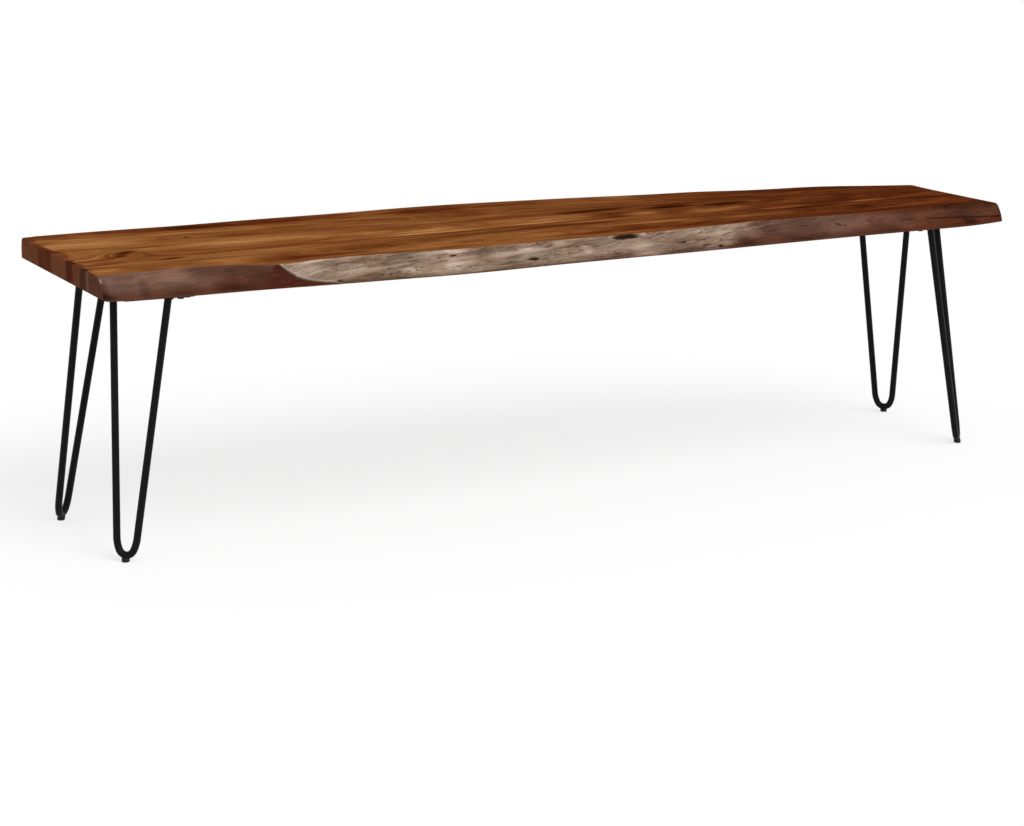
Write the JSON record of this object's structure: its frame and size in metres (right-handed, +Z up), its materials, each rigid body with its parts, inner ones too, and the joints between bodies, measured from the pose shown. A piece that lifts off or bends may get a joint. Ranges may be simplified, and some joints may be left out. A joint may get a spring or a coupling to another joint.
{
  "type": "live-edge bench",
  "caption": "Long backless bench: a thick hardwood seat with a natural front edge and a tapering back, on splayed hairpin legs of bent round rod.",
  "frame": {"origin": "on the floor, under the middle of the bench's outline", "axes": "+X along the seat towards its narrow end, +Y towards the back, +Z up; the natural edge with the pale wood faces -Y"},
  "size_m": [1.803, 0.4572, 0.457],
  "materials": {
    "seat_wood": "planed hardwood under a satin honey-brown lacquer",
    "live_edge_wood": "planed on top, its natural front edge debarked, pale and pitted, under the same lacquer",
    "black_steel": "satin black powder coat on steel",
    "black_rubber": "matt black",
    "black_screw": "black oxide"
  },
  "bodies": {
    "root": {"front_board": "live_edge_wood", "middle_board": "seat_wood", "rear_board": "seat_wood", "front_left_hairpin": "black_steel", "front_left_foot": "black_rubber", "front_left_plate": "black_steel", "front_left_screws": "black_screw", "rear_left_hairpin": "black_steel", "rear_left_foot": "black_rubber", "rear_left_plate": "black_steel", "rear_left_screws": "black_screw", "rear_right_hairpin": "black_steel", "rear_right_foot": "black_rubber", "rear_right_plate": "black_steel", "rear_right_screws": "black_screw", "front_right_hairpin": "black_steel", "front_right_foot": "black_rubber", "front_right_plate": "black_steel", "front_right_screws": "black_screw"}
  },
  "joints": []
}
